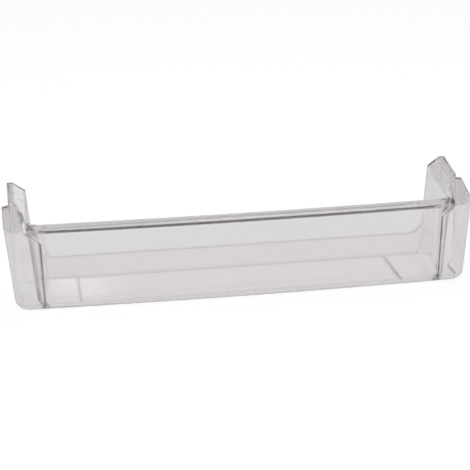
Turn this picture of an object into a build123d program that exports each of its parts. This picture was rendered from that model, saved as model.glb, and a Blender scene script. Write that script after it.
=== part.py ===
"""Clear one-piece door shelf for a refrigerator, modelled in millimetres.

X runs along the shelf, Y from the front panel (-Y) to the door (+Y), Z up.
The origin is on the underside, at the middle of the outer box.
"""
import os
from math import atan2, cos, degrees, hypot, radians, sin, sqrt, tan

from build123d import *

# Overall sizes
length = 470
depth = 105
height = 107
wall = 2.4
draft = 5

# Front panel: a shallow bow with a round foot; corner radii are those at the rim
front_height = 86
front_bow = 5.5
corner_radius = 21.5
foot_radius = 11

# Sloping lip along the top of the front panel, thicker where it folds
lip_depth = 11.5
lip_rise = 2.6
lip_land = 1.5
lip_gusset = 2.5
fold_radius = 1

# Compartment
pocket_width = 24.5
inner_radius = 18.5
mouth_radius = 12
curb_height = 25
curb_radius = 16
panel_length = 326
panel_sink = 0.8

# Hooded pockets at the ends, which drop over the lugs of the door
block_length = 54
block_height = 96
block_turn = 30
block_edge = 2.5
hood_inset = 7
ridge_width = 6
ridge_fall = 16
roof_drop = 9.5
flange_height = 12
waist_distance = 34
waist_inset = 4.5

# Reach of the cutting shapes beyond what they cut
spare = 20

back = depth / 2
spread = tan(radians(draft))
floor_radius = foot_radius - wall


def half_length(z):
    """Outer half length of the shelf at a height, with the draft of its ends."""
    return length / 2 - (block_height - z) * spread


# Bow of the front panel at its rim
bow_radius = (half_length(front_height) ** 2 + front_bow**2) / (2 * front_bow)
bow_centre = bow_radius - depth / 2


def front_curve(z, x, inset=0):
    """Y of the front panel's outer face, or of a face set in from it."""
    radius = bow_radius - (front_height - z) * spread - inset
    return bow_centre - sqrt(radius**2 - x**2)


# Places that several forms share, at the right-hand end
inner_x = half_length(front_height) - pocket_width
corner_y = front_curve(front_height, inner_x)
block_back = front_curve(front_height, half_length(front_height)) + block_length
ridge_outer = half_length(height) - hood_inset
ridge_inner = ridge_outer - ridge_width
roof_slope = roof_drop / (ridge_inner - inner_x)

# Slopes of the lip: its top, and its underside from below the fold to its inner edge
lip_run = lip_depth - lip_land
lip_slope = lip_rise / lip_run
lip_drop = wall * hypot(1, lip_slope)
lip_root = front_height + lip_slope * wall - lip_drop - lip_gusset
lip_under = front_height + lip_slope * lip_depth - lip_drop
lip_climb = lip_under - lip_root


def tray_outline(z, end_inset, front_inset, radius, plane):
    """Plan of the tray at a height, drawn on a plane and running past the back."""
    half = half_length(z) - end_inset
    side_y = front_curve(z, half, front_inset)
    middle_y = front_curve(z, 0, front_inset)
    rear = back + 2 * spare
    with BuildSketch(plane) as outline:
        with BuildLine():
            ThreePointArc((-half, side_y), (0, middle_y), (half, side_y))
            Polyline((half, side_y), (half, rear), (-half, rear), (-half, side_y))
        make_face()
        fillet(outline.vertices().sort_by(Axis.Y)[:2], radius - (front_height - z) * spread)
    return outline.sketch


def tray_form(bottom, top, end_inset, front_inset, rear, radius, foot=0):
    """Drafted form with a round foot, made upside down from its top and turned over."""
    with BuildPart() as form:
        outline = tray_outline(top, end_inset, front_inset, radius, Plane.XY.offset(-top))
        extrude(outline, amount=top - bottom, taper=draft)
        split(bisect_by=Plane.XZ.offset(-rear), keep=Keep.TOP)
        mirror(form.part, about=Plane.XY, mode=Mode.REPLACE)
        if foot:
            base = form.faces().sort_by(Axis.Z)[0]
            fillet(base.edges().sort_by(Axis.Y)[:-1], foot)
    return form.part


def hood_form(inset, front_y, rear_y, outer_x):
    """Space under the sloping roof of the right-hand hood, lowered by an inset."""
    far_x = inner_x - spare
    with BuildPart() as form:
        for y in (front_y, rear_y):
            ridge_z = height - ridge_fall * (back - y) / depth
            low_ridge = ridge_z - inset
            low_roof = ridge_z - inset * hypot(1, roof_slope)
            with BuildSketch(Plane.XZ.offset(-y)):
                with BuildLine():
                    Polyline(
                        (far_x, -spare),
                        (far_x, low_roof - roof_slope * (ridge_inner - far_x)),
                        (ridge_inner + (low_ridge - low_roof) / roof_slope, low_ridge),
                        (outer_x, low_ridge),
                        (outer_x, -spare),
                        close=True,
                    )
                make_face()
        loft(ruled=True)
    return form.part


def block_plane(inset):
    """Sloping top of the right-hand corner block, level along its turned front edge."""
    turn = radians(block_turn)
    climb = (block_back - corner_y) * cos(turn) - (length / 2 - inner_x) * sin(turn)
    slope = (block_height - front_height) / climb
    normal = Vector(sin(turn) * slope, -cos(turn) * slope, 1).normalized()
    return Plane(Vector(inner_x, corner_y, front_height) - normal * inset, z_dir=normal)


def leaning_slab(inset, front_y, rear_y):
    """Everything outside the drafted side of the right-hand end, set in by an inset."""
    far_x = length / 2 + spare
    with BuildPart() as slab:
        with BuildSketch(Plane.XZ.offset(-rear_y)):
            with BuildLine():
                Polyline(
                    (half_length(-spare) - inset, -spare),
                    (half_length(height + spare) - inset, height + spare),
                    (far_x, height + spare),
                    (far_x, -spare),
                    close=True,
                )
            make_face()
        extrude(amount=rear_y - front_y)
    return slab.part


# Whole outer form, taller than the ears
with BuildPart() as envelope:
    add(tray_form(0, height + spare, 0, 0, back, corner_radius, foot_radius))

# Plan of the right-hand corner block
with BuildPart() as block_column:
    with BuildSketch(Plane.XY.offset(-spare)):
        with BuildLine():
            Polyline(
                (inner_x, corner_y - spare),
                (inner_x, corner_y),
                (inner_x + waist_inset, corner_y + waist_distance),
                (ridge_inner, block_back),
                (length / 2 + spare, block_back),
                (length / 2 + spare, corner_y - spare),
                close=True,
            )
        make_face()
    extrude(amount=height + 2 * spare)

# Tray between the corner blocks, with the lip above its rim and a rounded fold
with BuildPart() as tray_body:
    add(envelope.part)
    split(bisect_by=Plane.XY.offset(front_height), keep=Keep.BOTTOM)
    rim = tray_outline(front_height, 0, 0, corner_radius, Plane.XY.offset(front_height))
    extrude(rim, amount=lip_rise, taper=degrees(atan2(lip_run, lip_rise)))
    split(bisect_by=Plane.XZ.offset(-back), keep=Keep.TOP)
    add(block_column.part, mode=Mode.SUBTRACT)
    fold = tray_body.edges().filter_by_position(Axis.Z, front_height, front_height)
    fillet(fold.sort_by(Axis.Y)[0], fold_radius)

# Right-hand end: corner block in front, with its three outer top edges rounded, and hood behind
with BuildPart() as corner_block:
    add(envelope.part)
    add(block_column.part, mode=Mode.INTERSECT)
    split(bisect_by=block_plane(0), keep=Keep.BOTTOM)
    block_top = corner_block.faces().sort_by(Axis.Z)[-1]
    outward = Axis((0, 0, 0), (block_length, -pocket_width, 0))
    fillet(block_top.edges().sort_by(outward)[-3:], block_edge)

with BuildPart() as hood:
    add(hood_form(0, -back - spare, back, ridge_outer))
    add(envelope.part, mode=Mode.INTERSECT)
    add(block_column.part, mode=Mode.SUBTRACT)

# Compartment: the space below the lip, a slope that runs on into the mouth, and the mouth
with BuildPart() as compartment:
    add(tray_form(wall, lip_root, pocket_width, wall, back - wall, inner_radius, floor_radius))
    slope_outline = tray_outline(lip_root, pocket_width, wall, inner_radius, Plane.XY.offset(lip_root))
    slope_run = lip_depth - wall - lip_climb * spread
    extrude(slope_outline, amount=2 * lip_climb, taper=degrees(atan2(slope_run, lip_climb)))
    split(bisect_by=Plane.XZ.offset(wall - back), keep=Keep.TOP)
    add(tray_form(curb_height, height + spare, pocket_width, lip_depth, back - wall, mouth_radius))

# Panel sunk a little in the middle of the floor
with BuildPart() as floor_panel:
    with BuildSketch(Plane.XY.offset(wall)):
        panel_front = front_curve(0, 0) + foot_radius + 2 * wall
        with Locations((0, back - wall)):
            Rectangle(panel_length, back - wall - panel_front, align=(Align.CENTER, Align.MAX))
    extrude(amount=-panel_sink)

# Compartment with its walls on
with BuildPart() as compartment_wall:
    end_inset = pocket_width - wall
    add(tray_form(0, height + spare, end_inset, wall / 2, back, inner_radius + wall, foot_radius))

# Pocket of the right-hand end, open outwards behind the block, and its mouth in the underside
with BuildPart() as block_pocket:
    add(tray_form(wall, height, wall, wall, back, corner_radius - wall, floor_radius))
    split(bisect_by=block_plane(wall), keep=Keep.BOTTOM)
    split(bisect_by=Plane.XZ.offset(-block_back), keep=Keep.TOP)
    add(leaning_slab(hood_inset + wall, block_back - wall, block_back), mode=Mode.SUBTRACT)
    add(hood_form(wall, -back - spare, back, length), mode=Mode.INTERSECT)

with BuildPart() as pocket_mouth:
    with BuildSketch(Plane.XY.offset(-spare)):
        with BuildLine():
            near = inner_x - spare
            far = half_length(0) - foot_radius / 2
            front = front_curve(0, inner_x) + foot_radius + wall
            Polyline((far, block_back), (far, front), (near, front), (near, block_back), close=True)
        make_face()
    extrude(amount=spare + foot_radius)

# Space under the hood, which has a front wall above the block
with BuildPart() as hood_pocket:
    add(hood_form(wall, block_back - wall, back - wall, ridge_outer - wall))
    add(hood_form(flange_height, block_back, back - wall, length))
    split(bisect_by=block_plane(wall), keep=Keep.BOTTOM)
    add(hood_form(wall, block_back + wall, back - wall, ridge_outer - wall))

with BuildPart() as pocket:
    add(block_pocket.part)
    add(pocket_mouth.part)
    add(hood_pocket.part)
    add(compartment_wall.part, mode=Mode.SUBTRACT)

# Opening of the back between the ears, down to the low back wall
with BuildPart() as back_opening:
    with BuildSketch(Plane.XZ.offset(-back - spare)) as outline:
        with BuildLine():
            low = half_length(curb_height) - pocket_width
            high = half_length(height + spare) - pocket_width
            top = height + spare
            Polyline((-low, curb_height), (low, curb_height), (high, top), (-high, top), close=True)
        make_face()
        fillet(outline.vertices().group_by(Axis.Y)[0], curb_radius)
    extrude(amount=wall + 2 * spare)

# Right half of the shelf, hollowed by the compartment and the pocket, and its mirror image
with BuildPart() as door_shelf:
    add(corner_block.part)
    add(hood.part)
    add(tray_body.part)
    add(leaning_slab(hood_inset, block_back, back + spare), mode=Mode.SUBTRACT)
    add(compartment.part, mode=Mode.SUBTRACT)
    add(floor_panel.part, mode=Mode.SUBTRACT)
    add(pocket.part, mode=Mode.SUBTRACT)
    add(back_opening.part, mode=Mode.SUBTRACT)
    split(bisect_by=Plane.YZ, keep=Keep.TOP)
    mirror(about=Plane.YZ)

door_shelf.part.label = "door_shelf"
os.makedirs("parts", exist_ok=True)
export_step(door_shelf.part, "parts/door_shelf.step")
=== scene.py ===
"""Looks of the clear refrigerator door shelf, standing on a white ground."""

from math import cos, radians, sin

import bpy
from mathutils import Matrix, Vector

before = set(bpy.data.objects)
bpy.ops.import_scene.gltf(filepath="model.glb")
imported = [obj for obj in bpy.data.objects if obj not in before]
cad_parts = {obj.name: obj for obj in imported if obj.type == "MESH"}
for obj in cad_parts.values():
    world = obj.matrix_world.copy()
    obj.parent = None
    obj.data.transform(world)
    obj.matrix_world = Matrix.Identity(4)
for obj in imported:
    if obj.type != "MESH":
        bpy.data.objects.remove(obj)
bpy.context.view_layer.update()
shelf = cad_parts["door_shelf"]
scene = bpy.context.scene

# Plastic: heights of the grained floor and of the rippled ears, radius of soft edges, light bounces
floor_zone = (0.0005, 0.006)
ear_zone = (0.088, 0.094)
edge_radius = 0.004
bounces = 48

# Ground: its own colour, and its glow to the camera and through the plastic
ground_size = 30
ground_drop = 0.0004
ground_grey = 0.2
glow_to_camera = 0.91
glow_through = 0.61

# Surroundings: heights between which they darken, their level overhead and as a light
dusk_zone = (0.38, 0.52)
overhead = 0.03
light_level = 0.74

# Camera of the photo: focal length and image width in pixels, angles in degrees
focal_length = 1455.895
image_width = 470
sensor = 36
turn, rise, roll = radians(-8.049), radians(18.376), radians(-1.302)
camera_place = (-0.19953, -1.386149, 0.517382)


def cleared_tree(owner):
    """The node tree of a material or world, with nothing in it."""
    owner.use_nodes = True
    owner.node_tree.nodes.clear()
    return owner.node_tree


def feed(tree, socket, value):
    """Links an input socket to an output, or sets it to a constant."""
    if isinstance(value, bpy.types.NodeSocket):
        tree.links.new(value, socket)
    else:
        socket.default_value = value


def node(tree, kind, **values):
    """A shader node with some of its settings and input sockets filled."""
    made = tree.nodes.new("ShaderNode" + kind)
    for name, value in values.items():
        if hasattr(made, name):
            setattr(made, name, value)
        else:
            feed(tree, made.inputs[name.replace("_", " ")], value)
    return made


def compute(tree, operation, *terms):
    """Output of a Math node on outputs and numbers."""
    made = node(tree, "Math", operation=operation)
    for socket, term in zip(made.inputs, terms):
        feed(tree, socket, term)
    return made.outputs[0]


def ramp(tree, value, zone, first, last, **settings):
    """Output that goes from the first number to the last as a value crosses a zone."""
    made = node(tree, "MapRange", Value=value, To_Min=first, To_Max=last, **settings)
    made.inputs["From Min"].default_value, made.inputs["From Max"].default_value = zone
    return made.outputs["Result"]


def seen(tree, first, second):
    """1 for rays of these two kinds, which look at a surface and don't just light it, else 0."""
    path = node(tree, "LightPath")
    return compute(tree, "MAXIMUM", path.outputs[first], path.outputs[second])


# Clear polystyrene, faintly tinted: slight waves, a grained floor, rippled ears and soft edges
plastic = bpy.data.materials.new("clear_plastic")
tree = cleared_tree(plastic)
place = node(tree, "TexCoord").outputs["Object"]
height = node(tree, "SeparateXYZ", Vector=place).outputs["Z"]


def noise(scale, detail, roughness):
    """Output of a noise texture fixed to the shelf."""
    made = node(tree, "TexNoise", Vector=place, Scale=scale, Detail=detail, Roughness=roughness)
    return made.outputs["Fac"]


waves = noise(scale=22, detail=2, roughness=0.4)
grain = noise(scale=260, detail=3, roughness=0.6)
grain_share = ramp(tree, height, floor_zone, 0.9, 0.02)
ripple = noise(scale=85, detail=1, roughness=0.4)
ripple_share = ramp(tree, height, ear_zone, 0, 5)
relief = compute(tree, "MULTIPLY_ADD", grain, grain_share, waves)
relief = compute(tree, "MULTIPLY_ADD", ripple, ripple_share, relief)
edge = node(tree, "Bevel", samples=6, Radius=edge_radius).outputs["Normal"]
bump = node(tree, "Bump", Strength=0.12, Distance=0.001, Height=relief, Normal=edge)
surface = node(
    tree,
    "BsdfPrincipled",
    Base_Color=(0.985, 0.962, 0.982, 1),
    Roughness=0.08,
    IOR=1.57,
    Transmission_Weight=1,
    Normal=bump.outputs["Normal"],
)
absorb = node(tree, "VolumeAbsorption", Color=(0.42, 0.36, 0.40, 1), Density=4)
node(tree, "OutputMaterial", Surface=surface.outputs["BSDF"], Volume=absorb.outputs["Volume"])
shelf.data.materials.clear()
shelf.data.materials.append(plastic)

# White ground that keeps the shelf's shadow and is a little darker through the plastic
bpy.ops.mesh.primitive_plane_add(size=ground_size, location=(0, 0, -ground_drop))
floor = bpy.context.object
floor.name = "ground"
paper = bpy.data.materials.new("ground_white")
tree = cleared_tree(paper)
diffuse = node(tree, "BsdfDiffuse", Color=(ground_grey, ground_grey, ground_grey, 1))
in_plastic = seen(tree, "Is Glossy Ray", "Is Transmission Ray")
to_camera = node(tree, "LightPath").outputs["Is Camera Ray"]
strength = compute(tree, "MULTIPLY", in_plastic, glow_through)
strength = compute(tree, "MULTIPLY_ADD", to_camera, glow_to_camera, strength)
glow = node(tree, "Emission", Strength=strength)
both = node(tree, "AddShader")
feed(tree, both.inputs[0], diffuse.outputs[0])
feed(tree, both.inputs[1], glow.outputs[0])
node(tree, "OutputMaterial", Surface=both.outputs[0])
floor.data.materials.append(paper)

# White surroundings that darken overhead, dimmer as a light and through the plastic
world = bpy.data.worlds.new("surroundings")
scene.world = world
tree = cleared_tree(world)
direction = node(tree, "SeparateXYZ", Vector=node(tree, "TexCoord").outputs["Generated"])
dome = ramp(tree, direction.outputs["Z"], dusk_zone, 1, overhead, interpolation_type="SMOOTHSTEP")
level = ramp(tree, seen(tree, "Is Camera Ray", "Is Glossy Ray"), (0, 1), light_level, 1)
strength = compute(tree, "MULTIPLY", dome, level)
sky = node(tree, "Background", Color=(1, 1, 1, 1), Strength=strength)
node(tree, "OutputWorld", Surface=sky.outputs[0])


def lamp(name, place, aim, width, height, power):
    """A soft rectangular lamp at a place, turned towards a point and unseen by the camera."""
    data = bpy.data.lights.new(name, "AREA")
    data.shape = "RECTANGLE"
    data.size = width
    data.size_y = height
    data.energy = power
    made = bpy.data.objects.new(name, data)
    scene.collection.objects.link(made)
    made.location = place
    made.rotation_euler = (Vector(aim) - Vector(place)).to_track_quat("-Z", "Y").to_euler()
    made.visible_camera = False
    return made


# Two large lamps, and a small one that makes a pale patch on the floor
middle = (0, 0, 0.05)
floor_left = (-0.16, 0.05, 0.025)
key = lamp("key", (-0.9, -0.7, 1.5), middle, width=0.9, height=0.9, power=10)
top = lamp("top", (0.4, 0.6, 1.8), middle, width=0.8, height=0.8, power=8)
lamp("glint", (-0.113, 1.773, 0.615), floor_left, width=0.12, height=0.04, power=0.03)

# The large lamps would show as white streaks in the rim
for large in (key, top):
    large.visible_transmission = False

# Camera
camera = bpy.data.cameras.new("camera")
camera.sensor_width = sensor
camera.lens = focal_length * sensor / image_width
eye = bpy.data.objects.new("camera", camera)
scene.collection.objects.link(eye)
scene.camera = eye
right = Vector((cos(turn), sin(turn), 0))
behind = Vector((sin(turn) * cos(rise), -cos(turn) * cos(rise), sin(rise)))
up = behind.cross(right)
across = right * cos(roll) + up * sin(roll)
upward = up * cos(roll) - right * sin(roll)
axes = Matrix((across, upward, behind)).transposed().to_4x4()
eye.matrix_world = Matrix.Translation(camera_place) @ axes

# Light that is guided inside the walls needs many bounces
scene.cycles.max_bounces = bounces
scene.cycles.glossy_bounces = bounces
scene.cycles.transmission_bounces = bounces
scene.view_settings.view_transform = "Standard"
